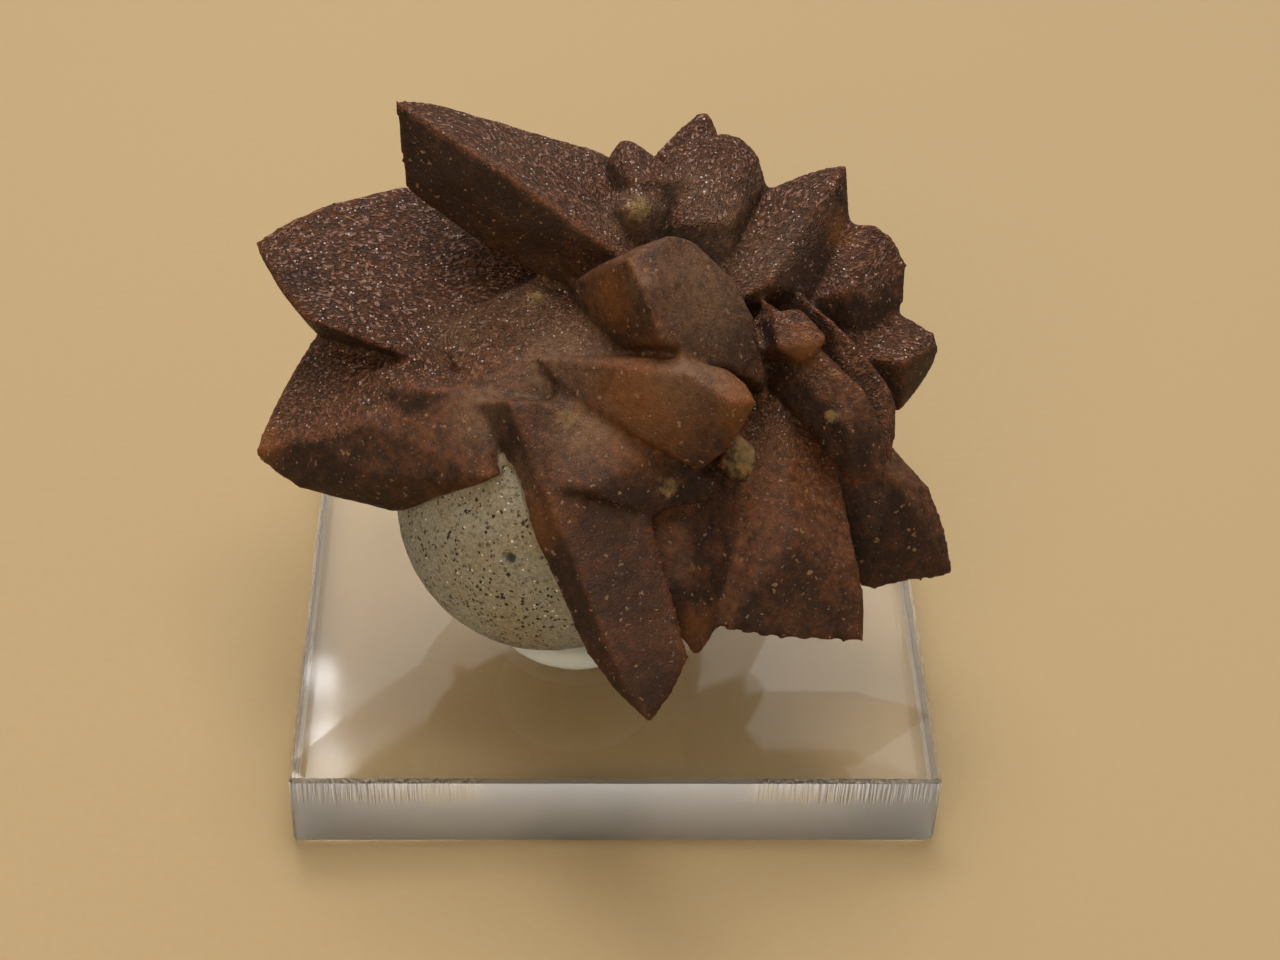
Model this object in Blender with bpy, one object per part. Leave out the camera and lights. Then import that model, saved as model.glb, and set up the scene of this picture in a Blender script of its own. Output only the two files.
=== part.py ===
"""Glendonite on a display block.

A rosette of brown calcite crystals grew out of a round sandstone nodule.
The nodule is pressed into a pad of putty on a square block of clear acrylic.

Frame: metres, +Z up, the front of the block faces -Y, and the origin is the
middle of the block's underside.  The sizes below are millimetres times MM.
"""
import math

import bmesh
import bpy
from mathutils import Matrix, Vector

MM = 0.001

# Display block: a square cut from 10 mm acrylic sheet
BLOCK_SIDE = 70.0 * MM
BLOCK_HEIGHT = 10.0 * MM
BLOCK_CHAMFER = 0.4 * MM

# Sandstone nodule
NODULE_CENTRE = Vector((-7.4, -9.6, 27.9)) * MM
NODULE_RADIUS = 16.9 * MM
NODULE_UNEVENNESS = 0.25 * MM
PIT_DIRECTION = Vector((-0.25, -0.91, 0.32))
PIT_RADIUS = 0.8 * MM

# Putty pad, a flat lens under the nodule and a little to its right.  Its side is
# a turned profile of (share of radius, share of height).
PUTTY_CENTRE = Vector((-4.2, -9.9, 0.0)) * MM
PUTTY_RADIUS = 9.2 * MM
PUTTY_HEIGHT = 2.6 * MM
PUTTY_PROFILE = [(0.0, 0.0), (0.88, 0.0), (0.98, 0.18), (1.0, 0.42), (0.92, 0.74),
                 (0.74, 0.93), (0.0, 1.0)]
PUTTY_STEPS = 40

# Air between neighbouring pieces
GAP = 0.3 * MM
# Round pieces are shaded smooth, apart from edges sharper than this
SHARP_ANGLE = math.radians(45)

# Rosette: its crystals spread from HEART, and its open face leans back by TILT
HEART = Vector((-1.0, -2.0, 45.0)) * MM
TILT = math.radians(41.0)
# Faces bulge: the middle of each edge that runs to a tip stands out by this share
FACE_BULGE = 0.05
# Rhombic crystals: the root section's share of the girdle, where along the crystal
# the girdle lies, and how far its corners slip to either side of there
SPIKE_TAPER = 0.8
SPIKE_GIRDLE_AT = 0.62
SPIKE_CORNER_SLIP = 0.06

# A body of fewer faces than this is a chip left in the nodule's hollow
SMALLEST_BODY_FACES = 60
WELD = 0.005 * MM

ACROSS = Vector((1.0, 0.0, 0.0))
UP = Vector((0.0, math.sin(TILT), math.cos(TILT)))
OUT = Vector((0.0, -math.cos(TILT), math.sin(TILT)))


def clear_scene():
    for obj in list(bpy.data.objects):
        bpy.data.objects.remove(obj, do_unlink=True)


def material(name, colour, roughness, alpha=1.0, transmission=0.0, ior=1.5):
    mat = bpy.data.materials.new(name)
    mat.use_nodes = True
    shader = mat.node_tree.nodes["Principled BSDF"]
    shader.inputs["Base Color"].default_value = (*colour, 1.0)
    shader.inputs["Roughness"].default_value = roughness
    shader.inputs["Metallic"].default_value = 0.0
    shader.inputs["Alpha"].default_value = alpha
    shader.inputs["Transmission Weight"].default_value = transmission
    shader.inputs["IOR"].default_value = ior
    return mat


def mesh_object(name, bm, mat=None):
    """Turn a bmesh into an object of the scene, and free it."""
    mesh = bpy.data.meshes.new(name)
    bm.to_mesh(mesh)
    bm.free()
    if mat:
        mesh.materials.append(mat)
    obj = bpy.data.objects.new(name, mesh)
    bpy.context.scene.collection.objects.link(obj)
    return obj


def combine(obj, helpers, operation):
    """Join the helper solids to obj, or cut them from it, and remove them."""
    for helper in helpers:
        boolean = obj.modifiers.new(operation.title(), "BOOLEAN")
        boolean.operation = operation
        boolean.solver = "EXACT"
        boolean.object = helper
    depsgraph = bpy.context.evaluated_depsgraph_get()
    result = bpy.data.meshes.new_from_object(obj.evaluated_get(depsgraph))
    obj.modifiers.clear()
    obj.data = result
    for helper in helpers:
        bpy.data.objects.remove(helper, do_unlink=True)


def sphere(name, centre, radius, subdivisions=4):
    bm = bmesh.new()
    bmesh.ops.create_icosphere(bm, subdivisions=subdivisions, radius=radius,
                               matrix=Matrix.Translation(centre))
    return mesh_object(name, bm)


# Acrylic block

def make_block(mat):
    bm = bmesh.new()
    size = Matrix.Diagonal((BLOCK_SIDE, BLOCK_SIDE, BLOCK_HEIGHT, 1.0))
    lift = Matrix.Translation((0.0, 0.0, BLOCK_HEIGHT / 2))
    bmesh.ops.create_cube(bm, size=1.0, matrix=lift @ size)
    bmesh.ops.bevel(bm, geom=bm.edges[:], offset=BLOCK_CHAMFER, affect="EDGES",
                    segments=1, profile=0.5, material=-1)
    return mesh_object("acrylic_base", bm, mat)


# Nodule

def unevenness(direction):
    """Low swells of the nodule's skin, from -1 to 1."""
    x, y, z = direction
    return (math.sin(2.3 * x + 1.1 * z + 0.4) + math.sin(3.1 * y - 1.7 * x + 1.9)
            + math.sin(2.7 * z + 2.1 * y - 0.8)) / 3


def make_nodule(mat):
    bm = bmesh.new()
    bmesh.ops.create_icosphere(bm, subdivisions=4, radius=1.0)
    for vert in bm.verts:
        radius = NODULE_RADIUS - NODULE_UNEVENNESS * (1 - unevenness(vert.co)) / 2
        vert.co = NODULE_CENTRE + vert.co.normalized() * radius
    nodule = mesh_object("concretion", bm, mat)
    pit_centre = NODULE_CENTRE + PIT_DIRECTION.normalized() * NODULE_RADIUS
    combine(nodule, [sphere("pit", pit_centre, PIT_RADIUS, 2)], "DIFFERENCE")
    nodule.data.shade_smooth()
    nodule.data.set_sharp_from_angle(angle=SHARP_ANGLE)
    return nodule


# Putty

def make_putty(mat):
    """A lens on the block, with the seat that the nodule pressed into it."""
    bm = bmesh.new()
    verts = [bm.verts.new((r * PUTTY_RADIUS, 0.0, h * PUTTY_HEIGHT))
             for r, h in PUTTY_PROFILE]
    edges = [bm.edges.new(pair) for pair in zip(verts, verts[1:])]
    bmesh.ops.spin(bm, geom=verts + edges, cent=(0, 0, 0), axis=(0, 0, 1),
                   angle=2 * math.pi, steps=PUTTY_STEPS, use_merge=True)
    bmesh.ops.remove_doubles(bm, verts=bm.verts[:], dist=WELD)
    bmesh.ops.recalc_face_normals(bm, faces=bm.faces[:])
    lift = Vector((0.0, 0.0, BLOCK_HEIGHT + GAP))
    bmesh.ops.translate(bm, verts=bm.verts[:], vec=PUTTY_CENTRE + lift)
    putty = mesh_object("mounting_putty", bm, mat)
    combine(putty, [sphere("seat", NODULE_CENTRE, NODULE_RADIUS + GAP)], "DIFFERENCE")
    putty.data.shade_smooth()
    putty.data.set_sharp_from_angle(angle=SHARP_ANGLE)
    return putty


# Crystals

def place(point):
    """Rosette millimetres (across, up, out) from the heart to the part's frame."""
    across, up, out = point
    return HEART + (across * ACROSS + up * UP + out * OUT) * MM


def crystal(name, root, taper, tips, girdle):
    """One convex crystal: its tips, the corners of its widest section, and its
    root, where the same section is smaller by taper."""
    root = Vector(root)
    tips = [Vector(tip) for tip in tips]
    girdle = [Vector(corner) for corner in girdle]
    middle = sum(girdle, Vector()) / len(girdle)
    axis = (sum(tips, Vector()) / len(tips) - root).normalized()
    points = tips + girdle + [root + (corner - middle) * taper for corner in girdle]
    for corner in girdle:
        tip = min(tips, key=lambda end: (end - corner).length)
        half_way = (corner + tip) / 2
        outward = half_way - root
        outward -= axis * outward.dot(axis)
        bulge = FACE_BULGE * (tip - corner).length
        points.append(half_way + outward.normalized() * bulge)
    bm = bmesh.new()
    for point in points:
        bm.verts.new(place(point))
    hull = bmesh.ops.convex_hull(bm, input=bm.verts[:])
    loose = set(hull["geom_interior"] + hull["geom_unused"])
    bmesh.ops.delete(bm, geom=[g for g in loose if isinstance(g, bmesh.types.BMVert)],
                     context="VERTS")
    bmesh.ops.recalc_face_normals(bm, faces=bm.faces[:])
    return mesh_object(name, bm)


def spike(name, tip, width, thickness, turn):
    """A crystal of rhombic section from the heart to tip, turned about its axis."""
    tip = Vector(tip)
    axis = tip.normalized()
    side = axis.cross(Vector((0.0, 0.0, 1.0))).normalized()
    face = side.cross(axis)
    girdle = []
    for quarter, radius in enumerate((width / 2, thickness / 2) * 2):
        angle = math.radians(turn + 90 * quarter)
        slip = SPIKE_CORNER_SLIP if quarter in (0, 3) else -SPIKE_CORNER_SLIP
        spoke = (side * math.cos(angle) + face * math.sin(angle)) * radius
        girdle.append(tip * (SPIKE_GIRDLE_AT + slip) + spoke)
    return crystal(name, (0.0, 0.0, 0.0), SPIKE_TAPER, [tip], girdle)


def grow_crystals():
    """Every crystal of the rosette, in rosette millimetres (across, up, out)."""
    return [
        # Left side: three big blades, and a small step on the lowest
        crystal("left", root=(-2, -1.5, -3), taper=0.95,
                tips=[(-38.5, 9.5, -2)],
                girdle=[(-30.5, 14, -4), (-22.5, 16.5, -7), (-32.5, 1, 3.5),
                        (-31.5, -0.5, -4), (-23.5, 12, -14)]),
        crystal("upper_left", root=(5.5, 6.5, -3), taper=0.85,
                tips=[(-23, 24, 5), (-22, 15, 1.5)],
                girdle=[(-18.5, 24, 1), (-0.5, 20, -5), (-12, 16.5, 8), (-0.5, 8.5, 7),
                        (-4.5, 5, 2), (-3.5, 13.5, -11)]),
        crystal("lower_left", root=(-7.5, -9.5, 4), taper=0.3,
                tips=[(-38, -13, 0), (-37.5, -14, 0)],
                girdle=[(-31.5, 1, -6), (-35, -6.5, -2), (-25.5, -10, 7), (-13.5, -7, 9),
                        (-12.5, -16, 12), (-17.5, -17.5, 8.5), (-22.5, -19.5, 3.5),
                        (-33, -17, 2), (-26.5, -11.5, -9)]),
        crystal("lower_left_step", root=(-5.5, -7.5, 4), taper=0.9,
                tips=[(-25.5, -4.5, 3), (-25, -6.5, 4.5)],
                girdle=[(-22.5, -3.5, 3), (-20, -6.5, 8.5), (-22, -10.5, 7.5),
                        (-20.5, -7.5, -3)]),
        # Middle: stubby crystals that point at the viewer
        crystal("middle", root=(-3.5, 0, -3), taper=1.0,
                tips=[(-18, 0, 2), (-17, -3.5, 5)],
                girdle=[(-8.5, 5, 2.5), (1, -2.5, 9), (-5.5, -8.5, 9), (-13, -8, 8.5)]),
        crystal("centre", root=(4.5, 0.5, -4), taper=1,
                tips=[(2, 8, 11.5), (6, 9.5, 11)],
                girdle=[(-4, 5, 6), (-3.5, 3, 6.5), (1.5, 6.5, 15), (3, 3.5, 16.5),
                        (5, -2, 16.5), (8.5, 9, 9), (13, 5, 7.5), (15, 1, 7.5),
                        (16.5, -6, 7.5), (0, -2, 8)]),
        crystal("front", root=(-1, -5, 0), taper=0.8,
                tips=[(14.5, -8, 17.5)],
                girdle=[(-8, -3, 8.5), (-1, -4, 12), (3, -4, 14), (7, -3.5, 15),
                        (11.5, -4.5, 16), (13.5, -6, 16.5), (7.5, -5, 17.5), (12, -8, 19),
                        (12, -12.5, 16.5), (9, -15, 15.5), (3.5, -12, 14.5), (-0.5, -9, 13),
                        (-5, -6.5, 10.5)]),
        crystal("front_low", root=(-1, -5.5, 4), taper=0.85,
                tips=[(4.5, -19.5, 12.5), (11, -18, 10)],
                girdle=[(-5.5, -6.5, 10), (-6.5, -16.5, 14), (-2, -17, 15), (1.5, -18, 14),
                        (11.5, -16, 10.5), (4, -12.5, 13), (-1, -9.5, 12)]),
        crystal("clay_knob", root=(11, -11.5, 5), taper=0.9,
                tips=[(15, -14, 11), (14.5, -16, 10.5)],
                girdle=[(12.5, -10.5, 12), (11, -14.5, 13), (12.5, -16, 11.5),
                        (15, -12.5, 10), (13.5, -11.5, 6)]),
        # Bottom: the long blade in front of the nodule, and the ones beside it
        crystal("lowest", root=(-7.5, -7.5, 7), taper=1.5,
                tips=[(4, -40.5, 17)],
                girdle=[(-2.5, -33.5, 14.5), (0, -33.5, 17), (8, -34, 15.5), (3, -32.5, 6)]),
        crystal("low_inner", root=(10, -8.5, 4), taper=0.9,
                tips=[(9, -34.5, 9), (9.5, -34, 9)],
                girdle=[(3, -27, 11.5), (8, -26.5, 11.5), (15, -23, 6), (11.5, -29.5, 8),
                        (9, -27.5, 1)]),
        crystal("low_wide", root=(18, 0, -1), taper=0.5,
                tips=[(11.5, -31.5, 9), (27, -33, 6)],
                girdle=[(13.5, -23.5, 7.5), (19, -22.5, 8.5), (26.5, -25, 5.5),
                        (18, -32.5, 8), (21, -23, -4)]),
        # Right side: chisel blades, rounded plates and a bud
        crystal("right_low", root=(14.5, 3, -6), taper=0.6,
                tips=[(28, -28, -3), (38.5, -26.5, -6)],
                girdle=[(23, -16, -1), (30.5, -15.5, 0), (35.5, -16.5, -5),
                        (37.5, -23.5, -6), (30.5, -16, -9)]),
        crystal("right_plate", root=(17.5, -0.5, 2), taper=0.9,
                tips=[(25.5, -16.5, 6.5), (28.5, -16, 6.5), (29.5, -14, 5.5)],
                girdle=[(21.5, -10.5, 6.5), (24, -4.5, 7.5), (27, -6.5, 6.5),
                        (29, -12, 5.5), (25, -10.5, 9), (26.5, -10.5, 3)]),
        crystal("right_plate_back", root=(18, 5, -3), taper=0.8,
                tips=[(31, -8.5, 1), (30.5, -14.5, 2)],
                girdle=[(25, -7, 3), (24, 1, 3.5), (27, -2, 2.5), (30, -5.5, 1),
                        (28.5, -5, -3)]),
        crystal("right_small", root=(21, -1.5, -6), taper=0.8,
                tips=[(36.5, -1.5, -5)],
                girdle=[(32.5, 2.5, -5), (36, 0.5, -5), (32, -3, 0), (32, -8.5, -4),
                        (35, -4.5, -5), (33.5, -2.5, -10)]),
        crystal("right_upper", root=(13.5, 1.5, -5), taper=0.65,
                tips=[(29, 12.5, -4.5), (31, 11.5, -5), (33, 8, -5), (32.5, 3.5, -5)],
                girdle=[(25.5, 12.5, -5), (25, 4.5, 0), (29, -1.5, -4), (27, 6.5, -10)]),
        crystal("right_bud", root=(15.5, -1.5, 0), taper=1,
                tips=[(23, -1, 7)],
                girdle=[(17, 2, 6), (20, 2.5, 5), (17.5, -2, 8), (20.5, -3.5, 7),
                        (20.5, 0.5, 2)]),
        crystal("upper_right", root=(9, 4, -5), taper=0.9,
                tips=[(26, 19, -4), (26.5, 13, -5)],
                girdle=[(17.5, 16.5, -7), (22.5, 18, -5), (16.5, 5, 4), (24, 4, -2),
                        (20.5, 11.5, -13)]),
        # Top: a pair of flat blades, and small pyramids at their foot
        crystal("top", root=(10.5, 6, -9), taper=0.9,
                tips=[(10, 25, -7), (11, 25, -7)],
                girdle=[(4.5, 19.5, -6), (9, 20, -4.5), (12.5, 21, -7), (10.5, 20, -13)]),
        crystal("top_second", root=(11.5, 5, -6), taper=0.8,
                tips=[(12.5, 22.5, -5.5), (14.5, 22, -6)],
                girdle=[(5.5, 20, -4), (6, 11.5, 1), (13.5, 12, 0.5), (17.5, 16.5, -6),
                        (16.5, 20, -6), (14.5, 19, -12)]),
        crystal("top_small", root=(5, 9.5, -3), taper=1,
                tips=[(1, 21, -1), (2, 21, -1)],
                girdle=[(-1, 15, -1), (-0.5, 18.5, -1), (2, 16, 3.5), (5.5, 16, 2),
                        (8, 16.5, -1), (3, 16, -8)]),
        crystal("top_foot", root=(5, 7, -3), taper=1,
                tips=[(2, 12.5, 6.5)],
                girdle=[(-1, 13, 1), (0.5, 15.5, 0), (3.5, 16.5, 0), (5.5, 15, 1),
                        (6, 12.5, 2), (4, 10, 3), (1, 9.5, 3), (3, 13.5, -4)]),
        # Back and underside, which the photograph does not show
        spike("back", (2.5, 17.5, -17), width=15, thickness=10, turn=20),
        spike("back_left", (-20, 8, -18), width=16, thickness=9, turn=-30),
        spike("back_right", (20, 5, -20), width=15, thickness=10, turn=35),
        spike("back_low", (2, -4, -30), width=16, thickness=12, turn=10),
        spike("under_left", (-19, -5, -21), width=13, thickness=9, turn=50),
        spike("under_right", (21, -12, -17), width=14, thickness=10, turn=-15),
        spike("under_back", (13, -14, -23), width=12, thickness=9, turn=0),
    ]


def faces_of_body(seed):
    """Every face that is joined to seed through shared edges."""
    found = {seed}
    queue = [seed]
    while queue:
        face = queue.pop()
        for edge in face.edges:
            for neighbour in edge.link_faces:
                if neighbour not in found:
                    found.add(neighbour)
                    queue.append(neighbour)
    return found


def drop_chips(obj):
    """Weld the seams of the cut, and delete the loose chips that it left."""
    bm = bmesh.new()
    bm.from_mesh(obj.data)
    bmesh.ops.remove_doubles(bm, verts=bm.verts[:], dist=WELD)
    bmesh.ops.dissolve_degenerate(bm, edges=bm.edges[:], dist=WELD)
    bmesh.ops.triangulate(bm, faces=bm.faces[:])
    left = set(bm.faces)
    while left:
        body = faces_of_body(next(iter(left)))
        left -= body
        if len(body) < SMALLEST_BODY_FACES:
            bmesh.ops.delete(bm, geom=list(body), context="FACES")
    bm.to_mesh(obj.data)
    bm.free()


def make_cluster(mat):
    first, *others = grow_crystals()
    first.name = "crystal_cluster"
    combine(first, others, "UNION")
    hollow = sphere("hollow", NODULE_CENTRE, NODULE_RADIUS + GAP)
    combine(first, [hollow], "DIFFERENCE")
    drop_chips(first)
    first.data.materials.clear()
    first.data.materials.append(mat)
    return first


clear_scene()
make_block(material("clear_acrylic", (0.95, 0.97, 0.96), 0.02, alpha=0.3,
                    transmission=1.0, ior=1.49))
make_nodule(material("grey_sandstone", (0.40, 0.37, 0.32), 0.9))
make_putty(material("white_putty", (0.72, 0.76, 0.80), 0.6))
make_cluster(material("brown_calcite", (0.20, 0.09, 0.06), 0.5))
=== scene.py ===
"""Looks of a glendonite rosette on its sandstone nodule and clear display block.

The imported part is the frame: metres, +Z up, the origin under the middle of the
block.  Each section below dresses one piece, in the order of putting it together.
"""
import math

import bmesh
import bpy
import numpy as np
from mathutils import Matrix, Quaternion, Vector, noise


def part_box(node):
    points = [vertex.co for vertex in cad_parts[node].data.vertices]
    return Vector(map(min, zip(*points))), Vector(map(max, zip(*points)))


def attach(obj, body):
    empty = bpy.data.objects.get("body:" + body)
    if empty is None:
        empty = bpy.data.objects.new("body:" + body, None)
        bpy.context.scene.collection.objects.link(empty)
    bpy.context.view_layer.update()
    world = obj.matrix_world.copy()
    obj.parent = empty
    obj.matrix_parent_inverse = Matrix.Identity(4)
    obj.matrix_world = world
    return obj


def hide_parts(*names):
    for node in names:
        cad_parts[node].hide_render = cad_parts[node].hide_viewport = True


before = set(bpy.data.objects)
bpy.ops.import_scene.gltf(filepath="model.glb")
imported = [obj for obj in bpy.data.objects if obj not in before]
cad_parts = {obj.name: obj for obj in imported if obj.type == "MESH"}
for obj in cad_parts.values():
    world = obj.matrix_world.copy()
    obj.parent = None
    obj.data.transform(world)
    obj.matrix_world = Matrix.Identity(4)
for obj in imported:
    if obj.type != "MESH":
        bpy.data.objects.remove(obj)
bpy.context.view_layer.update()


# Display block
#
# A square of clear cast acrylic, sawn from 10 mm sheet and polished.  Its sides keep
# fine upright saw marks, and its edges are broken by a small chamfer.

MM = 0.001
BLOCK_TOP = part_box("acrylic_base")[1].z
CLEAR_TINT = (0.997, 0.999, 0.998, 1.0)
SAWN_TINT = (0.95, 0.97, 1.0, 1.0)
ACRYLIC_IOR = 1.49
POLISHED_ROUGHNESS = 0.05
SAWN_ROUGHNESS = 0.5
TORN_ROUGHNESS = 0.275
SAW_MARKS_PER_METRE = 2600.0
SAW_MARK_STRETCH = 0.035
SAW_MARK_DEPTH = 0.22 * MM
FAINT_MARKS = 0.06
# The torn band: its foot, and how far from the middle of a side it starts
TORN_BAND_FOOT = BLOCK_TOP - 3.2 * MM
TORN_BAND_FADE = 0.5 * MM
TORN_BAND_RAGGED = 0.6 * MM
TORN_BAND_STARTS = 13 * MM
TORN_BAND_IS_FULL = 16 * MM


def add_node(tree, kind, values=None, **settings):
    """Add a node, apply its settings, and fill or link its inputs."""
    made = tree.nodes.new(kind)
    for name, value in settings.items():
        setattr(made, name, value)
    for name, value in (values or {}).items():
        if isinstance(value, bpy.types.NodeSocket):
            tree.links.new(value, made.inputs[name])
        else:
            made.inputs[name].default_value = value
    return made


def new_finish(name):
    """An empty material, its shader, and the tree that they sit in."""
    finish = bpy.data.materials.new(name)
    finish.use_nodes = True
    tree = finish.node_tree
    shader = tree.nodes["Principled BSDF"]
    return finish, tree, shader


def object_place(tree, scale=(1.0, 1.0, 1.0)):
    """The place on the object, in metres times scale."""
    coordinates = add_node(tree, "ShaderNodeTexCoord")
    mapping = add_node(tree, "ShaderNodeMapping",
                       {"Vector": coordinates.outputs["Object"], "Scale": scale})
    return mapping.outputs["Vector"]


def ramp(tree, value, low, high, to_low=0.0, to_high=1.0):
    """A smooth step of value from low to high."""
    step = add_node(tree, "ShaderNodeMapRange",
                    {"Value": value, "From Min": low, "From Max": high,
                     "To Min": to_low, "To Max": to_high},
                    interpolation_type="SMOOTHSTEP")
    return step.outputs["Result"]


def maths(tree, operation, first, second=0.0):
    """The result of one sum, where each term is a number or a socket."""
    result = add_node(tree, "ShaderNodeMath", {0: first, 1: second}, operation=operation)
    return result.outputs["Value"]


def multiply(tree, first, second):
    return maths(tree, "MULTIPLY", first, second)


def add_up(tree, first, second):
    return maths(tree, "ADD", first, second)


def noise_texture(tree, place, per_metre, detail, roughness=0.5, distortion=0.0):
    """Cloudy noise with so many swells to the metre."""
    return add_node(tree, "ShaderNodeTexNoise",
                    {"Vector": place, "Scale": per_metre, "Detail": detail,
                     "Roughness": roughness, "Distortion": distortion})


def mix_colour(tree, factor, first, second, blend="MIX"):
    """The first colour, with the second laid over it by factor."""
    mixed = add_node(tree, "ShaderNodeMix", {0: factor, 6: first, 7: second},
                     data_type="RGBA", blend_type=blend)
    return mixed.outputs[2]


def bump(tree, height, distance, strength=1.0, under=None):
    """A surface direction that follows the height, over the relief under it."""
    values = {"Height": height, "Distance": distance, "Strength": strength}
    if under is not None:
        values["Normal"] = under
    return add_node(tree, "ShaderNodeBump", values).outputs["Normal"]


def clear_acrylic_finish():
    finish, tree, shader = new_finish("sawn_clear_acrylic")
    shader.inputs["IOR"].default_value = ACRYLIC_IOR
    shader.inputs["Transmission Weight"].default_value = 1.0
    surface = add_node(tree, "ShaderNodeNewGeometry")
    facing = add_node(tree, "ShaderNodeSeparateXYZ",
                      {"Vector": surface.outputs["Normal"]})
    side = ramp(tree, maths(tree, "ABSOLUTE", facing.outputs["Z"]), 0.95, 0.85)
    tint = mix_colour(tree, side, CLEAR_TINT, SAWN_TINT)
    tree.links.new(tint, shader.inputs["Base Color"])

    # Upright saw marks over each side.  They are deep in a ragged band at the top,
    # which fades out towards the middle of the side.
    axes = add_node(tree, "ShaderNodeSeparateXYZ", {"Vector": object_place(tree)})
    marks = noise_texture(tree, object_place(tree, (1.0, 1.0, SAW_MARK_STRETCH)),
                          SAW_MARKS_PER_METRE, 2.0, 0.6).outputs["Fac"]
    ragged = ramp(tree, marks, 0.3, 0.7, -TORN_BAND_RAGGED, TORN_BAND_RAGGED)
    height = add_up(tree, axes.outputs["Z"], ragged)
    band = ramp(tree, height, TORN_BAND_FOOT - TORN_BAND_FADE,
                TORN_BAND_FOOT + TORN_BAND_FADE)
    along = maths(tree, "MINIMUM", maths(tree, "ABSOLUTE", axes.outputs["X"]),
                  maths(tree, "ABSOLUTE", axes.outputs["Y"]))
    band = multiply(tree, band, ramp(tree, along, TORN_BAND_STARTS, TORN_BAND_IS_FULL))
    strength = multiply(tree, side, ramp(tree, band, 0.0, 1.0, FAINT_MARKS, 1.0))
    tree.links.new(bump(tree, marks, SAW_MARK_DEPTH, strength), shader.inputs["Normal"])

    # The sides are frosted, the torn band at their top less so than the rest
    haze = ramp(tree, band, 0.0, 1.0, SAWN_ROUGHNESS, TORN_ROUGHNESS)
    haze = add_node(tree, "ShaderNodeMix", {0: side, 2: POLISHED_ROUGHNESS, 3: haze})
    tree.links.new(haze.outputs[0], shader.inputs["Roughness"])
    return finish


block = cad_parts["acrylic_base"]
block.data.materials.clear()
block.data.materials.append(clear_acrylic_finish())


# Putty pad
#
# White mounting putty, rolled by hand and flattened between the nodule and the
# block.  It is soft, matt and a little see-through, with a few finger dents.

PUTTY_GRID = 0.25 * MM
PUTTY_DENTS = 0.12 * MM
PUTTY_DENTS_PER_MM = 0.35
PUTTY_WHITE = (0.70, 0.73, 0.72, 1.0)
PUTTY_BLUISH = (0.60, 0.65, 0.67, 1.0)
PUTTY_MOTTLES_PER_METRE = 350.0
PUTTY_GRAINS_PER_METRE = 1800.0
PUTTY_GRAIN_DEPTH = 0.03 * MM
PUTTY_GLOW_DEPTH = 1.5 * MM
MERGE_WITHIN = 0.002 * MM
AIR = 0.3 * MM


def mesh_of(piece):
    """The piece's mesh with its modifiers applied."""
    depsgraph = bpy.context.evaluated_depsgraph_get()
    return bpy.data.meshes.new_from_object(piece.evaluated_get(depsgraph))


def drop_crumbs(mesh):
    """Keep the net's largest connected part.  Thin tips can leave loose crumbs."""
    bm = bmesh.new()
    bm.from_mesh(mesh)
    unseen = set(bm.verts)
    parts = []
    while unseen:
        front = [unseen.pop()]
        part = front[:]
        while front:
            vertex = front.pop()
            for edge in vertex.link_edges:
                beside = edge.other_vert(vertex)
                if beside in unseen:
                    unseen.remove(beside)
                    front.append(beside)
                    part.append(beside)
        parts.append(part)
    parts.sort(key=len)
    for crumb in parts[:-1]:
        bmesh.ops.delete(bm, geom=crumb, context="VERTS")
    bm.to_mesh(mesh)
    bm.free()


def fine_copy(node_name, name, grid):
    """A copy of a CAD node, remade as an even net of small faces."""
    bm = bmesh.new()
    bm.from_mesh(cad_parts[node_name].data)
    bmesh.ops.remove_doubles(bm, verts=bm.verts[:], dist=MERGE_WITHIN)
    mesh = bpy.data.meshes.new(name)
    bm.to_mesh(mesh)
    bm.free()
    piece = bpy.data.objects.new(name, mesh)
    bpy.context.scene.collection.objects.link(piece)
    remesh = piece.modifiers.new("Even net", "REMESH")
    remesh.mode = "VOXEL"
    remesh.voxel_size = grid
    piece.data = mesh_of(piece)
    piece.modifiers.clear()
    piece.data.name = name
    drop_crumbs(piece.data)
    return piece


class Net:
    """The vertices of a piece as arrays, with the means to smooth and push them."""

    def __init__(self, piece):
        self.mesh = piece.data
        count = len(self.mesh.vertices)
        self.place = np.empty(count * 3)
        self.mesh.vertices.foreach_get("co", self.place)
        self.place = self.place.reshape(-1, 3)
        ends = np.empty(len(self.mesh.edges) * 2, int)
        self.mesh.edges.foreach_get("vertices", ends)
        ends = ends.reshape(-1, 2)
        self.near = np.concatenate((ends[:, 0], ends[:, 1]))
        self.far = np.concatenate((ends[:, 1], ends[:, 0]))
        self.degree = np.maximum(np.bincount(self.near, minlength=count), 1)

    def spread(self, values, rounds):
        """Values blurred over the net by so many rounds."""
        for _ in range(rounds):
            if values.ndim == 1:
                around = np.bincount(self.near, values[self.far], len(self.degree))
                values = (values + around / self.degree) / 2
            else:
                values = np.stack([self.spread(axis, 1) for axis in values.T], axis=1)
        return values

    def store(self):
        """Put the places back on the mesh."""
        self.mesh.vertices.foreach_set("co", self.place.ravel())
        self.mesh.update()

    def normals(self):
        """Outward directions at the vertices as they stand."""
        self.store()
        out = np.empty(len(self.degree) * 3)
        self.mesh.vertex_normals.foreach_get("vector", out)
        return out.reshape(-1, 3)

    def keep(self, name, values):
        """Keep one value a vertex on the mesh, for the material to read."""
        layer = self.mesh.attributes.new(name, "FLOAT", "POINT")
        layer.data.foreach_set("value", values.astype(np.float32))


def swell(places, per_mm, seed):
    """Smooth noise from -1 to 1 at each place, with so many swells to the mm."""
    shift = Vector((seed * 7.3, seed * 3.1, seed * 5.7))
    scale = per_mm / MM
    return np.array([noise.noise(Vector(p) * scale + shift) for p in places.tolist()])


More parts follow.
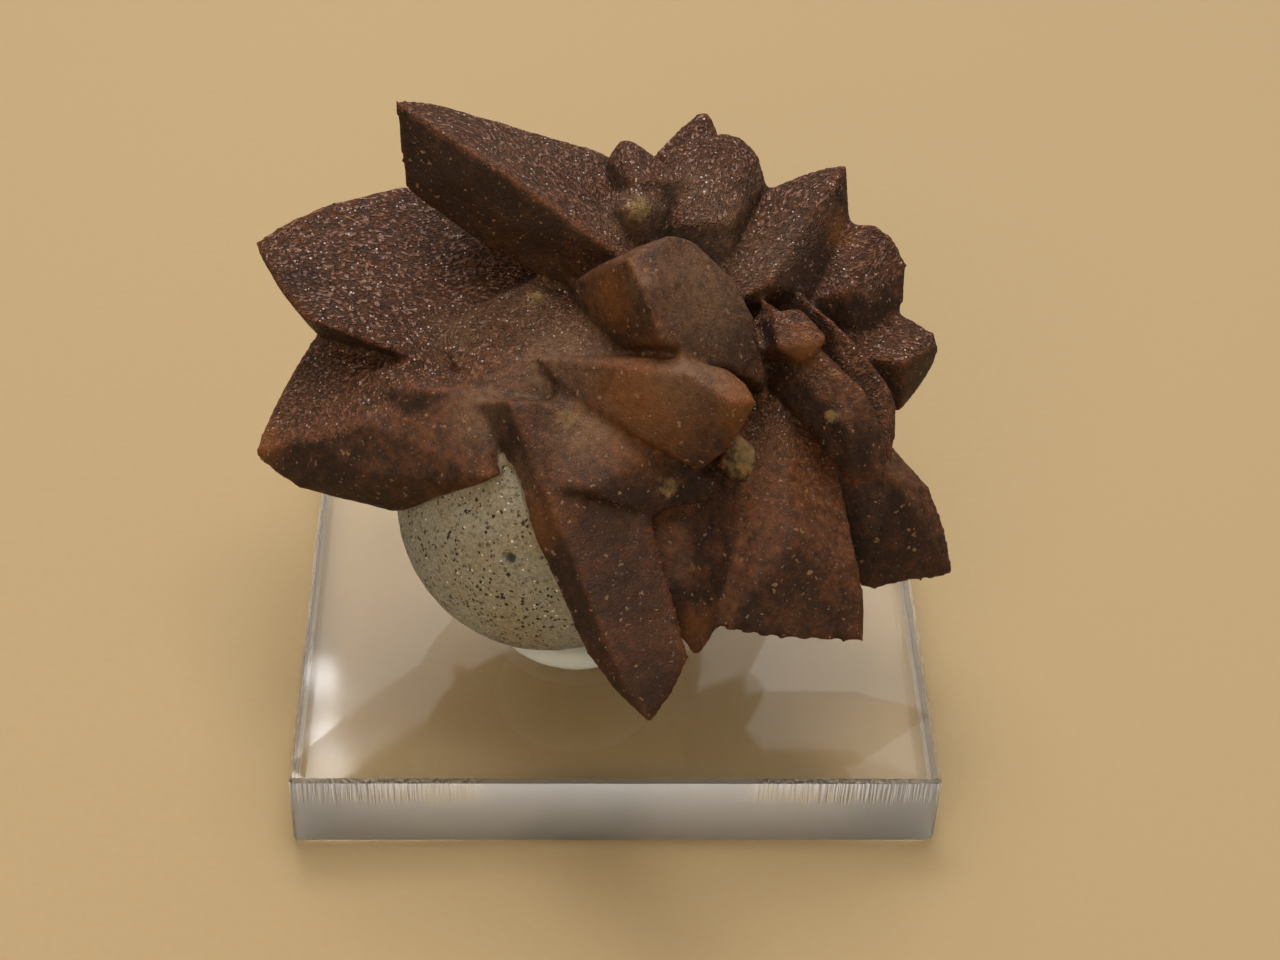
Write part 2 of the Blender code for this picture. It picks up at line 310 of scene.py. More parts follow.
def putty_finish():
    finish, tree, shader = new_finish("white_putty")
    place = object_place(tree)
    mottle = noise_texture(tree, place, PUTTY_MOTTLES_PER_METRE, 3.0).outputs["Fac"]
    tint = mix_colour(tree, ramp(tree, mottle, 0.35, 0.7), PUTTY_WHITE, PUTTY_BLUISH)
    tree.links.new(tint, shader.inputs["Base Color"])
    shader.inputs["Roughness"].default_value = 0.55
    shader.inputs["Subsurface Weight"].default_value = 0.5
    shader.inputs["Subsurface Radius"].default_value = (1.0, 0.9, 0.8)
    shader.inputs["Subsurface Scale"].default_value = PUTTY_GLOW_DEPTH
    grain = noise_texture(tree, place, PUTTY_GRAINS_PER_METRE, 4.0).outputs["Fac"]
    tree.links.new(bump(tree, grain, PUTTY_GRAIN_DEPTH), shader.inputs["Normal"])
    return finish


putty = fine_copy("mounting_putty", "pressed_putty", PUTTY_GRID)
putty_net = Net(putty)
putty_net.place = putty_net.spread(putty_net.place, 3)
# The pad sticks to the block below it and to the stone above it
putty_net.place += putty_net.normals() * AIR
putty_net.place += (putty_net.normals()
                    * swell(putty_net.place, PUTTY_DENTS_PER_MM, seed=1)[:, None]
                    * PUTTY_DENTS)
putty_net.place[:, 2] = np.maximum(putty_net.place[:, 2], BLOCK_TOP)
putty_net.store()
putty.data.shade_smooth()
putty.data.materials.append(putty_finish())
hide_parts("mounting_putty")
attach(putty, "root")


# Sandstone nodule
#
# A round concretion of fine grey sandstone, which the crystals grew out of and partly
# around.  Its skin is worn smooth, with dark and pale grains and one small pit, which
# has no hollow in the mesh: a dark grey spot holds its colour and its painted shade.

NODULE_GRID = 0.32 * MM
STONE_LUMPS = 0.05 * MM
STONE_LUMPS_PER_MM = 0.5
STONE_GRIT = 0.035 * MM
STONE_GRIT_PER_MM = 1.6
PIT_PLACE = Vector((-11.6, -25.0, 33.3)) * MM
PIT_REACH = 0.75 * MM
PIT_EDGE = 0.3 * MM
STONE_GREY = (0.295, 0.285, 0.240, 1.0)
STONE_BROWN = (0.285, 0.242, 0.170, 1.0)
STONE_BLUE_GREY = (0.25, 0.255, 0.24, 1.0)
DARK_GRAIN = (0.024, 0.022, 0.018, 1.0)
PALE_GRAIN = (0.75, 0.72, 0.66, 1.0)
PIT_GREY_AND_SHADE = (0.045, 0.045, 0.040, 1.0)
CLOUDS_PER_METRE = 110.0
SWARMS_PER_METRE = 240.0
SAND_PER_METRE = 4200.0
SHAKES_PER_METRE = 3600.0
SHAKE_REACH = 0.55 * MM
SKIN_GRAINS_PER_METRE = 2200.0
SKIN_DEPTH = 0.10 * MM
# Cells to the metre, share of the cells that hold a grain, and its size in the cell
SMALL_PITS = (2700.0, 0.32, 0.66)
LARGE_PITS = (1300.0, 0.13, 0.36)
PALE_GLINTS = (2600.0, 0.07, 0.45)


def vector_maths(tree, operation, first, second=(0.0, 0.0, 0.0)):
    """The result of one sum on places or directions.  SCALE takes a number second."""
    slot = "Scale" if operation == "SCALE" else 1
    result = add_node(tree, "ShaderNodeVectorMath", {0: first, slot: second},
                      operation=operation)
    return result.outputs["Vector"]


def grain_dots(tree, place, per_metre, share, radius):
    """Round grains in some cells of a net: 1 inside such a grain, 0 elsewhere."""
    cells = add_node(tree, "ShaderNodeTexVoronoi",
                     {"Vector": place, "Scale": per_metre, "Randomness": 1.0})
    lot = add_node(tree, "ShaderNodeSeparateColor", {"Color": cells.outputs["Color"]})
    size = ramp(tree, lot.outputs["Green"], 0.0, 1.0, radius * 0.4, radius)
    inside = maths(tree, "SUBTRACT", size, cells.outputs["Distance"])
    chosen = ramp(tree, lot.outputs["Red"], 1 - share - 0.01, 1 - share + 0.01)
    return multiply(tree, ramp(tree, inside, 0.0, 0.12), chosen)


def wander(tree, place, per_metre, reach):
    """Noise that points to all sides by turns, by up to about half the reach."""
    cloud = noise_texture(tree, place, per_metre, 1.0).outputs["Color"]
    centred = vector_maths(tree, "SUBTRACT", cloud, (0.5, 0.5, 0.5))
    return vector_maths(tree, "SCALE", centred, reach)


def shaken(tree, place, per_metre, reach):
    """The place, moved about by noise so that dots turn out ragged."""
    return vector_maths(tree, "ADD", place, wander(tree, place, per_metre, reach))


def sandstone_finish():
    finish, tree, shader = new_finish("speckled_sandstone")
    place = object_place(tree)
    cloud = noise_texture(tree, place, CLOUDS_PER_METRE, 4.0).outputs["Fac"]
    colour = mix_colour(tree, ramp(tree, cloud, 0.4, 0.65), STONE_GREY, STONE_BROWN)
    # The skin is bluish at the left and at the bottom
    axes = add_node(tree, "ShaderNodeSeparateXYZ", {"Vector": place})
    low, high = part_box("concretion")
    left = ramp(tree, axes.outputs["X"], low.x + 9 * MM, low.x + 1 * MM)
    bottom = ramp(tree, axes.outputs["Z"], low.z + 9 * MM, low.z + 3 * MM)
    rim = multiply(tree, maths(tree, "MAXIMUM", left, bottom), 0.7)
    colour = mix_colour(tree, rim, colour, STONE_BLUE_GREY)

    # Sand grains, dark pits of two sizes in loose swarms, and a few pale glints
    ragged = shaken(tree, place, SHAKES_PER_METRE, SHAKE_REACH)
    sand = add_node(tree, "ShaderNodeTexVoronoi",
                    {"Vector": ragged, "Scale": SAND_PER_METRE, "Randomness": 1.0})
    lot = add_node(tree, "ShaderNodeSeparateColor", {"Color": sand.outputs["Color"]})
    tone = ramp(tree, lot.outputs["Red"], 0.0, 1.0, 0.80, 1.18)
    colour = mix_colour(tree, 1.0, colour, tone, "MULTIPLY")
    swarm = noise_texture(tree, place, SWARMS_PER_METRE, 2.0).outputs["Fac"]
    swarm = ramp(tree, swarm, 0.40, 0.55, 0.45, 1.0)
    small = multiply(tree, grain_dots(tree, ragged, *SMALL_PITS), swarm)
    dark = maths(tree, "MAXIMUM", small, grain_dots(tree, ragged, *LARGE_PITS))
    colour = mix_colour(tree, dark, colour, DARK_GRAIN)
    colour = mix_colour(tree, grain_dots(tree, place, *PALE_GLINTS), colour, PALE_GRAIN)
    # The pit is painted, not hollowed: its dark grey holds the pit's colour and its
    # painted shade
    pit = add_node(tree, "ShaderNodeAttribute", attribute_name="pit")
    colour = mix_colour(tree, pit.outputs["Fac"], colour, PIT_GREY_AND_SHADE)
    tree.links.new(colour, shader.inputs["Base Color"])
    shader.inputs["Roughness"].default_value = 0.8
    shader.inputs["Specular IOR Level"].default_value = 0.3

    fine = noise_texture(tree, place, SKIN_GRAINS_PER_METRE, 3.0).outputs["Fac"]
    height = add_up(tree, fine, multiply(tree, sand.outputs["Distance"], -0.5))
    height = add_up(tree, height, multiply(tree, dark, -1.0))
    tree.links.new(bump(tree, height, SKIN_DEPTH), shader.inputs["Normal"])
    return finish


stone = fine_copy("concretion", "sandstone_nodule", NODULE_GRID)
stone_net = Net(stone)
stone_net.place = stone_net.spread(stone_net.place, 2)
lumps = swell(stone_net.place, STONE_LUMPS_PER_MM, seed=2) * STONE_LUMPS
grit = swell(stone_net.place, STONE_GRIT_PER_MM, seed=3) * STONE_GRIT
stone_net.place += stone_net.normals() * (lumps + grit)[:, None]
stone_net.store()
# The pit lies on the skin, where the net comes closest to its place
to_pit = np.linalg.norm(stone_net.place - np.array(PIT_PLACE), axis=1)
pit_middle = stone_net.place[np.argmin(to_pit)]
pit_distance = np.linalg.norm(stone_net.place - pit_middle, axis=1)
stone_net.keep("pit", np.clip((PIT_REACH - pit_distance) / PIT_EDGE, 0, 1))
stone.data.shade_smooth()
stone.data.materials.append(sandstone_finish())
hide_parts("concretion")
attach(stone, "root")


# Crystal rosette
#
# Brown calcite that took the place of ikaite: one cluster of thick blades, grown
# together at their roots and partly around the nodule.  The skin is sugary and
# wrinkled along each blade.  Thin edges let some light through, and an orange glow
# is painted on them as well.

ROSETTE_GRID = 0.43 * MM
# Where the blades meet, and the directions of their open face, which tilts back
HEART = Vector((-1.0, -2.0, 45.0)) * MM
TILT = math.radians(41.0)
ACROSS = Vector((1.0, 0.0, 0.0))
UP = Vector((0.0, math.sin(TILT), math.cos(TILT)))
OUT = Vector((0.0, -math.cos(TILT), math.sin(TILT)))
# How the roots grip the stone and keep some of its sand
STONE_RADIUS = 16.9 * MM
SANDY_REACH = 1.1 * MM
SANDY_EDGE = 0.6 * MM
GRIP_REACH = 1.2 * MM
GRIP_EDGE = 0.8 * MM
GRIP_DEPTH = AIR + 0.25 * MM
# Where the net bends enough for a ridge or a crevice
BEND_ROUNDS = 8
RIDGE_STARTS = 0.06 * MM
RIDGE_RANGE = 0.24 * MM
CREVICE_STARTS = 0.05 * MM
CREVICE_RANGE = 0.3 * MM
# Heights over the heart: outwards for the worn middle, upwards for the lower blades
WORN_FROM = 4.5 * MM
WORN_RANGE = 4.0 * MM
LOWER_FROM = -14.0 * MM
LOWER_RANGE = 10.0 * MM
# Relief of the skin that is in the mesh
BROAD_SWELLS_PER_MM = 0.2
BROAD_SWELL_DEPTH = 0.07 * MM
SMALL_SWELLS_PER_MM = 0.55
SMALL_SWELL_DEPTH = 0.06 * MM
FOLDS_PER_MM = 1.1
FOLD_DEPTH = 0.08 * MM
FOLD_STREAK_STEP = 0.2 * MM
CHIPS_PER_MM = 0.7
CHIP_DEPTH = 0.10 * MM
# Noise is drawn out by adding it up at these steps along the blade
STREAK_STEPS = (-1.5, -0.5, 0.5, 1.5)
FINE_STREAK_STEP = 0.11 * MM
STREAK_BENDS_PER_METRE = 70.0
STREAK_BEND = 4.5
WRINKLES_PER_METRE = 2900.0
WRINKLE_TWIST = 0.9
WRINKLE_DEPTH = 0.34 * MM
SUGAR_PER_METRE = 4200.0
SUGAR_DEPTH = 0.10 * MM
MOTTLES_PER_METRE = 1100.0
BROWN_CLOUDS_PER_METRE = 480.0
BROAD_CLOUDS_PER_METRE = 90.0
SPECK_SHAKES_PER_METRE = 1800.0
SPECK_SHAKE_REACH = 0.9 * MM
# Cells to the metre, share of the cells that hold one, and its size in the cell
SPECKS = (1350.0, 0.30, 0.36)
PAINTED_GLINTS = (3600.0, 0.09, 0.5)
CALCITE_IOR = 1.56
GROOVE_ROUGHNESS = 0.60
CREST_ROUGHNESS = 0.33
CALCITE_GLOW_DEPTH = 1.0 * MM
CALCITE_DARK = (0.026, 0.0100, 0.0052, 1.0)
CALCITE_BROWN = (0.108, 0.0375, 0.0120, 1.0)
# Painted sheen colour for the wrinkle crests
PAINTED_SHEEN_PLUM = (0.240, 0.132, 0.105, 1.0)
# Painted glow colour for thin edges
PAINTED_GLOW_ORANGE = (0.27, 0.072, 0.013, 1.0)
CALCITE_AMBER = (0.205, 0.074, 0.0170, 1.0)
DUST_AND_LIGHT_TAN = (0.175, 0.100, 0.056, 1.0)
CLAY_TAN = (0.36, 0.215, 0.090, 1.0)
CLAY_GREEN = (0.21, 0.145, 0.060, 1.0)
SPECK_TAN = (0.26, 0.150, 0.080, 1.0)
PAINTED_GLINT_COLOUR = (0.65, 0.56, 0.55, 1.0)


def rosette_place(across, up, out):
    """A place given in mm from the heart, in the part's frame."""
    return HEART + (across * ACROSS + up * UP + out * OUT) * MM


def share_of(amount, whole):
    """The amount as a share of the whole, kept between 0 and 1."""
    return np.clip(amount / whole, 0, 1)


def outward_from_heart(places):
    """Unit directions from the rosette's heart to each place."""
    spokes = places - np.array(HEART)
    return spokes / np.maximum(np.linalg.norm(spokes, axis=1), MM)[:, None]


def streaked_swell(places, per_mm, step, seed):
    """Noise that is drawn out along the blades, away from the heart."""
    along = outward_from_heart(places)
    layers = [swell(places + along * step * k, per_mm, seed) for k in STREAK_STEPS]
    return sum(layers) / len(layers)


def streaked_noise(tree, place):
    """The same drawn-out noise for the material.  Its direction wanders a little."""
    spoke = vector_maths(tree, "NORMALIZE", vector_maths(tree, "SUBTRACT", place, HEART))
    drift = wander(tree, place, STREAK_BENDS_PER_METRE, STREAK_BEND)
    along = vector_maths(tree, "NORMALIZE", vector_maths(tree, "ADD", spoke, drift))
    total = 0.0
    for k in STREAK_STEPS:
        step = vector_maths(tree, "SCALE", along, FINE_STREAK_STEP * k)
        moved = vector_maths(tree, "ADD", place, step)
        layer = noise_texture(tree, moved, WRINKLES_PER_METRE, 1.0,
                              distortion=WRINKLE_TWIST).outputs["Fac"]
        total = add_up(tree, total, multiply(tree, layer, 1 / len(STREAK_STEPS)))
    return total


def calcite_finish():
    finish, tree, shader = new_finish("brown_sugary_calcite")
    place = object_place(tree)

    def painted(name):
        return add_node(tree, "ShaderNodeAttribute", attribute_name=name).outputs["Fac"]

    wrinkled = painted("wrinkled")
    lit_from_above = painted("faces_up")
    amber = painted("amber")

    # Short worm-like wrinkles, a little drawn out along the blade
    wrinkle = streaked_noise(tree, place)
    crest = ramp(tree, wrinkle, 0.42, 0.60)
    sugar = add_node(tree, "ShaderNodeTexVoronoi",
                     {"Vector": place, "Scale": SUGAR_PER_METRE, "Randomness": 1.0})
    mottle = noise_texture(tree, place, MOTTLES_PER_METRE, 5.0, 0.65).outputs["Fac"]

    # Fine clouds of dark and red brown over broad ones, with painted light that makes
    # faces looking up more red brown
    cloud = noise_texture(tree, place, BROWN_CLOUDS_PER_METRE, 5.0, 0.65, 0.4)
    cloud = cloud.outputs["Fac"]
    broad = noise_texture(tree, place, BROAD_CLOUDS_PER_METRE, 2.0).outputs["Fac"]
    tone_and_painted_light = add_up(tree, multiply(tree, cloud, 0.65), multiply(tree, broad, 0.35))
    tone_and_painted_light = add_up(tree, tone_and_painted_light, multiply(tree, lit_from_above, 0.22))
    colour = mix_colour(tree, ramp(tree, tone_and_painted_light, 0.42, 0.74), CALCITE_DARK, CALCITE_BROWN)
    colour = mix_colour(tree, multiply(tree, amber, 0.8), colour, CALCITE_AMBER)
    # The mottling is strong where the skin is wrinkled and faint where it is amber
    swing = multiply(tree, ramp(tree, mottle, 0.32, 0.68, -0.5, 0.5),
                     ramp(tree, wrinkled, 0.0, 0.8, 0.75, 1.1))
    swing = multiply(tree, swing, ramp(tree, amber, 0.0, 1.0, 1.0, 0.5))
    colour = mix_colour(tree, 1.0, colour, add_up(tree, swing, 1.0), "MULTIPLY")
    # Painted light and shade: faces that look up are painted lighter, the others darker
    painted_light_and_shade = ramp(tree, lit_from_above, 0.0, 0.8, 0.72, 1.16)
    colour = mix_colour(tree, 1.0, colour, painted_light_and_shade, "MULTIPLY")

    # Painted shade in the wrinkles' grooves and a painted plum-grey sheen on their crests
    painted_groove_shade = multiply(tree, wrinkled, ramp(tree, wrinkle, 0.51, 0.43, 0.0, 0.8))
    colour = mix_colour(tree, painted_groove_shade, colour, CALCITE_DARK)
    painted_crest_sheen = multiply(tree, wrinkled, ramp(tree, wrinkle, 0.49, 0.61, 0.0, 0.68))
    colour = mix_colour(tree, painted_crest_sheen, colour, PAINTED_SHEEN_PLUM)

    # Painted shade: dark in the painted shade patches.  Painted glow: orange where an edge
    # is thin
    painted_shade = multiply(tree, painted("painted_shade"), 0.8)
    colour = mix_colour(tree, painted_shade, colour, CALCITE_DARK)
    # Painted glow: thin edges are painted orange as if light shone through them, more so
    # on faces that look up
    painted_edge_glow = multiply(tree, painted("ridge"), ramp(tree, mottle, 0.35, 0.6, 0.15, 0.75))
    painted_edge_glow = multiply(tree, painted_edge_glow, ramp(tree, lit_from_above, 0.0, 0.5, 0.45, 1.0))
    colour = mix_colour(tree, painted_edge_glow, colour, PAINTED_GLOW_ORANGE)

    # A film of tan dust that is also painted light on some lit faces, clay in the grooves
    # and a few patches of it
    dust_and_light_film = multiply(tree, painted("dust_and_painted_light"), ramp(tree, mottle, 0.34, 0.66, 0.35, 0.80))
    colour = mix_colour(tree, dust_and_light_film, colour, DUST_AND_LIGHT_TAN)
    clay_tint = mix_colour(tree, ramp(tree, cloud, 0.42, 0.62), CLAY_GREEN, CLAY_TAN)
    ragged = add_up(tree, multiply(tree, mottle, 1.4), multiply(tree, cloud, 0.6))
    in_groove = multiply(tree, painted("crevice"), ramp(tree, ragged, 0.95, 1.25))
    patch = ramp(tree, add_up(tree, painted("clay"), ragged), 1.40, 2.10)
    clay = maths(tree, "MAXIMUM", multiply(tree, in_groove, 0.4),
                 multiply(tree, patch, 0.85))
    colour = mix_colour(tree, clay, colour, clay_tint)

    # Pale ragged specks, sand where the stone was, and painted glints: grains painted pale
    # as if they caught the light
    shaken_place = shaken(tree, place, SPECK_SHAKES_PER_METRE, SPECK_SHAKE_REACH)
    speck = multiply(tree, grain_dots(tree, shaken_place, *SPECKS),
                     ramp(tree, wrinkled, 0.0, 0.8, 0.75, 0.25))
    colour = mix_colour(tree, speck, colour, SPECK_TAN)
    sand = ramp(tree, add_up(tree, painted("sandy"), mottle), 0.95, 1.2)
    colour = mix_colour(tree, multiply(tree, sand, 0.8), colour, STONE_BROWN)
    # Painted glints, mostly on the wrinkled faces
    painted_glint = multiply(tree, grain_dots(tree, place, *PAINTED_GLINTS),
                     ramp(tree, wrinkled, 0.0, 1.0, 0.10, 1.0))
    colour = mix_colour(tree, painted_glint, colour, PAINTED_GLINT_COLOUR)
    tree.links.new(colour, shader.inputs["Base Color"])

    rough = ramp(tree, multiply(tree, crest, wrinkled), 0.0, 1.0,
                 GROOVE_ROUGHNESS, CREST_ROUGHNESS)
    rough = add_up(tree, rough, multiply(tree, clay, 0.3))
    tree.links.new(rough, shader.inputs["Roughness"])
    shader.inputs["IOR"].default_value = CALCITE_IOR
    shader.inputs["Specular IOR Level"].default_value = 0.2
    shader.inputs["Coat Weight"].default_value = 0.06
    shader.inputs["Coat Roughness"].default_value = 0.22
    shader.inputs["Subsurface Weight"].default_value = 0.12
    shader.inputs["Subsurface Radius"].default_value = (1.0, 0.30, 0.10)
    shader.inputs["Subsurface Scale"].default_value = CALCITE_GLOW_DEPTH

    # Relief: wrinkles over a fine sugary grain
    height = multiply(tree, crest, ramp(tree, wrinkled, 0.0, 1.0, 0.04, 1.0))
    wrinkle_bump = bump(tree, height, WRINKLE_DEPTH)
    grain = add_up(tree, multiply(tree, sugar.outputs["Distance"], -0.5), mottle)
    both = bump(tree, grain, SUGAR_DEPTH, under=wrinkle_bump)
    tree.links.new(both, shader.inputs["Normal"])
    tree.links.new(both, shader.inputs["Coat Normal"])
    return finish


rosette = fine_copy("crystal_cluster", "crystal_rosette", ROSETTE_GRID)
rosette_net = Net(rosette)
rosette_low, rosette_high = (np.array(corner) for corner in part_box("crystal_cluster"))
rosette_net.place = rosette_net.spread(rosette_net.place, 1)

# The roots close on the stone that they grew around
stone_low, stone_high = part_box("concretion")
stone_middle = np.array((stone_low + stone_high) / 2)
from_stone = rosette_net.place - stone_middle
stone_distance = np.linalg.norm(from_stone, axis=1)
sandy = share_of(STONE_RADIUS + SANDY_REACH - stone_distance, SANDY_EDGE)
touching = share_of(STONE_RADIUS + GRIP_REACH - stone_distance, GRIP_EDGE)
rosette_net.place -= (from_stone / stone_distance[:, None]
                      * touching[:, None] * GRIP_DEPTH)

# How sharply the net bends at each vertex, outwards on ridges and inwards in grooves
outward = rosette_net.normals()
wide = rosette_net.spread(rosette_net.place, BEND_ROUNDS)
bend = np.sum((rosette_net.place - wide) * outward, axis=1)
ridge = rosette_net.spread(share_of(bend - RIDGE_STARTS, RIDGE_RANGE), 1)
crevice = rosette_net.spread(share_of(-bend - CREVICE_STARTS, CREVICE_RANGE), 1)

# The middle, which stands out furthest, is worn smooth.  Wrinkles are left on the faces
# that look up, and fewer on the lower blades.
faces_up = rosette_net.spread(share_of(outward[:, 2] - 0.45, 0.35), 1)
from_heart = rosette_net.place - np.array(HEART)
worn = share_of(from_heart @ np.array(OUT) - WORN_FROM, WORN_RANGE)
worn = rosette_net.spread(worn, 2)
wrinkled = (0.12 + 0.88 * faces_up) * (1 - 0.85 * worn)
wrinkled *= 0.3 + 0.7 * share_of(from_heart @ np.array(UP) - LOWER_FROM, LOWER_RANGE)

# The thin edges lose the steps of the net
blunt = share_of(ridge * 1.5, 1)[:, None]
rosette_net.place += blunt * (rosette_net.spread(rosette_net.place, 2) - rosette_net.place)

# Low swells, folds along the blades and chipped ridges
relief = swell(rosette_net.place, BROAD_SWELLS_PER_MM, seed=4) * BROAD_SWELL_DEPTH
relief += swell(rosette_net.place, SMALL_SWELLS_PER_MM, seed=5) * SMALL_SWELL_DEPTH
folds = streaked_swell(rosette_net.place, FOLDS_PER_MM, FOLD_STREAK_STEP, seed=6)
relief += folds * FOLD_DEPTH * (0.35 + 0.65 * wrinkled) * (1 - 0.6 * ridge)
chips = share_of(swell(rosette_net.place, CHIPS_PER_MM, seed=7) - 0.15, 1) * ridge
relief -= chips * CHIP_DEPTH
rosette_net.place += outward * relief[:, None]
rosette_net.place = np.clip(rosette_net.place, rosette_low, rosette_high)
rosette_net.store()

# Patches of the skin, of painted shade and of painted light: their places in mm across, up
# and out, and how far they reach
CLAY_PATCHES = [
    ((14.0, -13.5, 12.0), 4.2), ((16.0, -11.5, 9.0), 2.2), ((6.0, -16.5, 13.0), 2.2),
    ((22.5, -4.5, 8.0), 2.2), ((23.0, -9.0, 8.0), 1.6), ((-16.0, 10.0, 0.0), 1.4),
    ((-8.0, 3.5, 4.0), 2.0), ((-4.5, -9.5, 12.5), 2.0), ((8.5, -24.0, 12.0), 2.2),
    ((3.0, 13.0, 5.0), 3.0), ((-26.5, -5.0, 4.0), 2.0),
]
# Tan dust, and painted light where patches lighten lit faces
DUST_AND_LIGHT_PATCHES = [
    ((9.0, 3.0, 11.0), 9.0), ((3.0, 4.0, 15.0), 3.0), ((7.0, -5.0, 16.5), 5.0),
    ((-3.0, -11.0, 12.5), 5.0), ((14.0, 10.0, 2.0), 8.0), ((2.7, 13.0, 5.0), 6.0),
    ((9.5, 16.0, 0.0), 5.0), ((-7.0, -1.5, 8.5), 9.0), ((-16.0, 1.0, 4.0), 6.0),
    ((-9.0, 3.0, 4.0), 6.0), ((-13.0, -9.0, 9.0), 5.0), ((16.0, -10.0, 8.0), 6.0),
    ((3.0, 13.0, 4.0), 4.0), ((-9.0, -16.0, 11.0), 4.0),
]
AMBER_PATCHES = [
    ((0.0, 3.0, 11.5), 5.0), ((3.0, -8.0, 15.0), 9.0), ((13.0, -8.0, 18.0), 5.0),
    ((20.5, -2.0, 7.0), 3.0), ((-37.0, -12.0, 0.0), 4.0), ((25.0, 11.0, -3.0), 3.5),
    ((-6.5, -20.0, 12.0), 4.0), ((8.5, -31.0, 9.0), 3.0),
]
# Painted shade: dark patches on faces that lie in shade
PAINTED_SHADE_PATCHES = [
    ((-0.5, -21.0, 15.0), 7.0), ((2.0, -28.0, 16.0), 8.0), ((3.5, -36.0, 16.0), 8.0),
    ((1.5, -24.0, 15.5), 6.0), ((-16.0, 14.5, 2.5), 7.0), ((-8.0, 10.0, 4.0), 5.0),
    ((21.0, 9.0, 0.0), 6.0), ((-33.0, 5.0, 0.0), 4.0),
]


def patches(places, spots):
    """1 around the middle of each spot, falling to 0 at its reach."""
    amount = np.zeros(len(places))
    for centre, reach in spots:
        away = np.linalg.norm(places - np.array(rosette_place(*centre)), axis=1)
        amount = np.maximum(amount, share_of(1.3 - 1.3 * away / (reach * MM), 1))
    return amount


# Dust and painted light: the film is stronger on faces that look up
dust_and_painted_light = patches(rosette_net.place, DUST_AND_LIGHT_PATCHES) * (0.6 + 0.4 * faces_up)
# Painted shade, a little weaker on faces that look up
painted_shade = patches(rosette_net.place, PAINTED_SHADE_PATCHES) * (1 - 0.15 * faces_up)
rosette_net.keep("clay", patches(rosette_net.place, CLAY_PATCHES))
rosette_net.keep("dust_and_painted_light", dust_and_painted_light)
rosette_net.keep("amber", patches(rosette_net.place, AMBER_PATCHES))
rosette_net.keep("painted_shade", painted_shade)
# Painted light: the material paints faces that look up lighter and the others darker, and
# the worn middle gets less of this light
rosette_net.keep("faces_up", faces_up * (1 - 0.55 * worn))
rosette_net.keep("ridge", ridge)
rosette_net.keep("crevice", crevice)
rosette_net.keep("wrinkled", wrinkled)
rosette_net.keep("sandy", sandy)
rosette.data.shade_smooth()
rosette.data.materials.append(calcite_finish())
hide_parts("crystal_cluster")
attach(rosette, "root")


# Floor, lights and camera
#
# A plain pale floor, two soft lights above the block, a warm one at the front left, a
# pale wall of light behind, and the camera where the photograph was taken.

FLOOR_SIDE = 3.0
FLOOR_TOP = -0.1 * MM
FLOOR_TINT = (0.475, 0.350, 0.188, 1.0)
FLOOR_SECOND_TINT = (0.475, 0.360, 0.200, 1.0)
FLOOR_MOTTLES_PER_METRE = 900.0
SPECIMEN = (0.0, 0.0, 0.03)
SKY_TINT = (1.0, 0.92, 0.80, 1.0)
SKY_STRENGTH = 0.38
CAMERA_PLACE = Vector((-7.09, -206.09, 203.45)) * MM
CAMERA_AIM = Vector((2.50, -9.54, 30.48)) * MM
CAMERA_ROLL = math.radians(2.16)
CAMERA_LENS = 67.5
CAMERA_SENSOR = 36.0
CAMERA_NEAR = 0.01


def floor_finish():
    finish, tree, shader = new_finish("plain_floor")
    mottle = noise_texture(tree, object_place(tree), FLOOR_MOTTLES_PER_METRE, 2.0)
    tint = mix_colour(tree, ramp(tree, mottle.outputs["Fac"], 0.3, 0.7),
                      FLOOR_TINT, FLOOR_SECOND_TINT)
    tree.links.new(tint, shader.inputs["Base Color"])
    shader.inputs["Roughness"].default_value = 0.8
    return finish


def soft_light(name, place, size, power, colour, tall=None):
    """A round light on the specimen, or an oblong one where its height is given."""
    data = bpy.data.lights.new(name, "AREA")
    data.shape = "RECTANGLE" if tall else "DISK"
    data.size = size
    if tall:
        data.size_y = tall
    data.energy = power
    data.color = colour
    light = bpy.data.objects.new(name, data)
    light.location = place
    towards = Vector(SPECIMEN) - Vector(place)
    light.rotation_euler = towards.to_track_quat("-Z", "Y").to_euler()
    bpy.context.scene.collection.objects.link(light)


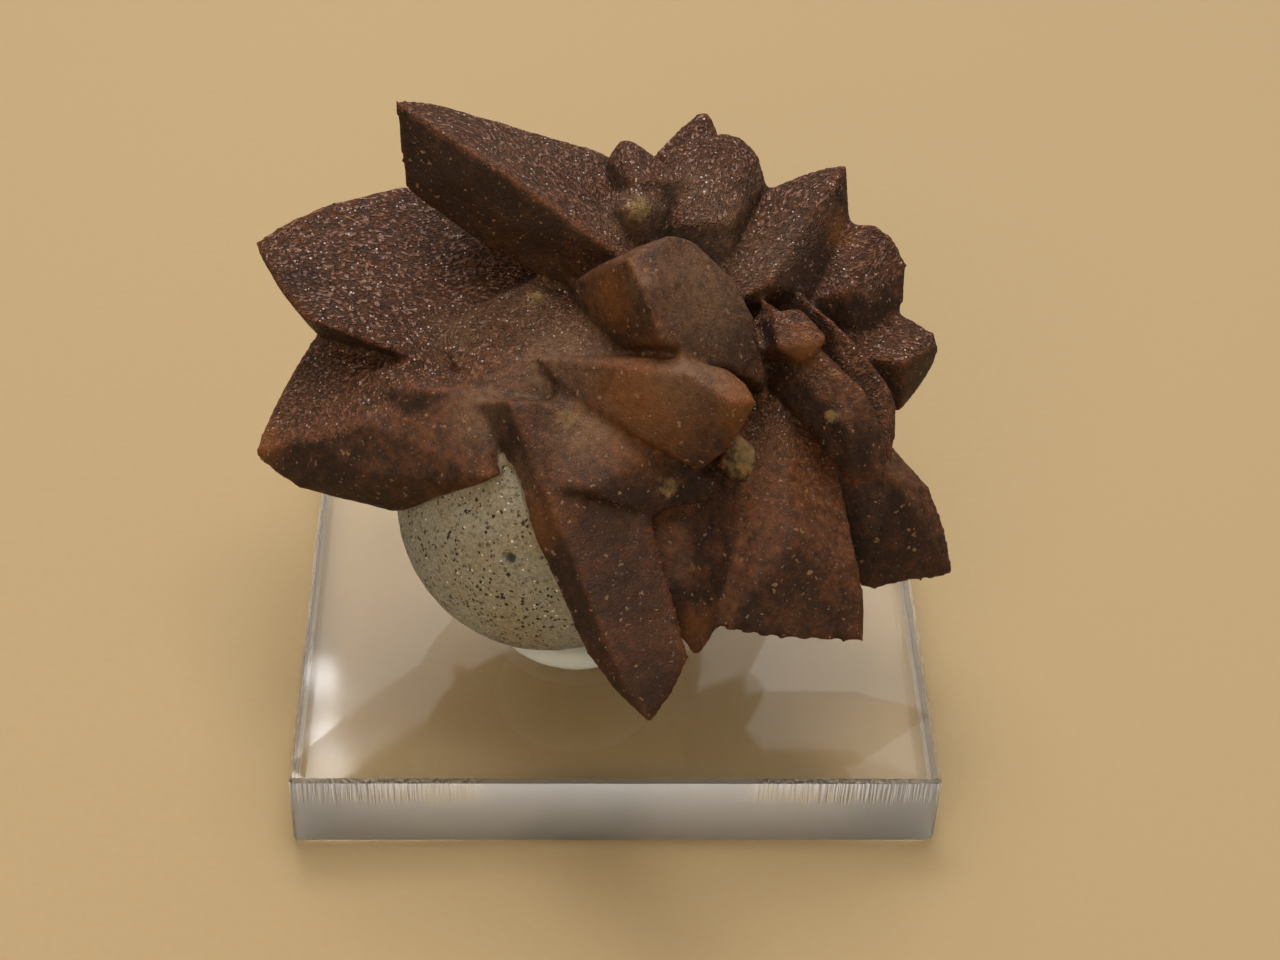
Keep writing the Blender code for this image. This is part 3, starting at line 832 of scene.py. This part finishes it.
bm = bmesh.new()
bmesh.ops.create_grid(bm, x_segments=1, y_segments=1, size=FLOOR_SIDE / 2,
                      matrix=Matrix.Translation((0.0, 0.0, FLOOR_TOP)))
floor_mesh = bpy.data.meshes.new("floor")
bm.to_mesh(floor_mesh)
bm.free()
floor = bpy.data.objects.new("floor", floor_mesh)
floor.data.materials.append(floor_finish())
bpy.context.scene.collection.objects.link(floor)

soft_light("main_light", (-0.06, 0.27, 0.54), size=0.28, power=1.35,
           colour=(1.0, 0.92, 0.83))
soft_light("top_light", (0.06, 0.02, 0.62), size=0.26, power=1.0,
           colour=(1.0, 0.94, 0.87))
soft_light("front_light", (-0.16, -0.52, 0.36), size=0.46, power=1.05,
           colour=(1.0, 0.78, 0.46))
# A pale wall behind the block, which its top and, from inside, its front face show
soft_light("wall_light", (0.03, 0.85, 0.80), size=1.60, tall=0.62, power=3.0,
           colour=(0.98, 0.98, 1.0))
# Two small lamps that show as soft spots in the block's polished top
for lamp, place in (("lamp_left", (-0.087, 0.378, 0.452)),
                    ("lamp_right", (-0.089, 0.394, 0.438))):
    soft_light(lamp, place, size=0.012, power=0.003, colour=(1.0, 1.0, 1.0))

world = bpy.data.worlds.new("soft_room")
world.use_nodes = True
sky = world.node_tree.nodes["Background"]
sky.inputs["Color"].default_value = SKY_TINT
sky.inputs["Strength"].default_value = SKY_STRENGTH
bpy.context.scene.world = world
bpy.context.scene.view_settings.view_transform = "Standard"
# Light keeps its full way through the clear block
bpy.context.scene.cycles.blur_glossy = 0.0

camera_data = bpy.data.cameras.new("camera")
camera_data.sensor_width = CAMERA_SENSOR
camera_data.lens = CAMERA_LENS
camera_data.clip_start = CAMERA_NEAR
camera = bpy.data.objects.new("camera", camera_data)
camera.rotation_mode = "QUATERNION"
camera.location = CAMERA_PLACE
camera.rotation_quaternion = ((CAMERA_AIM - CAMERA_PLACE).to_track_quat("-Z", "Y")
                              @ Quaternion((0, 0, 1), CAMERA_ROLL))
bpy.context.scene.collection.objects.link(camera)
bpy.context.scene.camera = camera
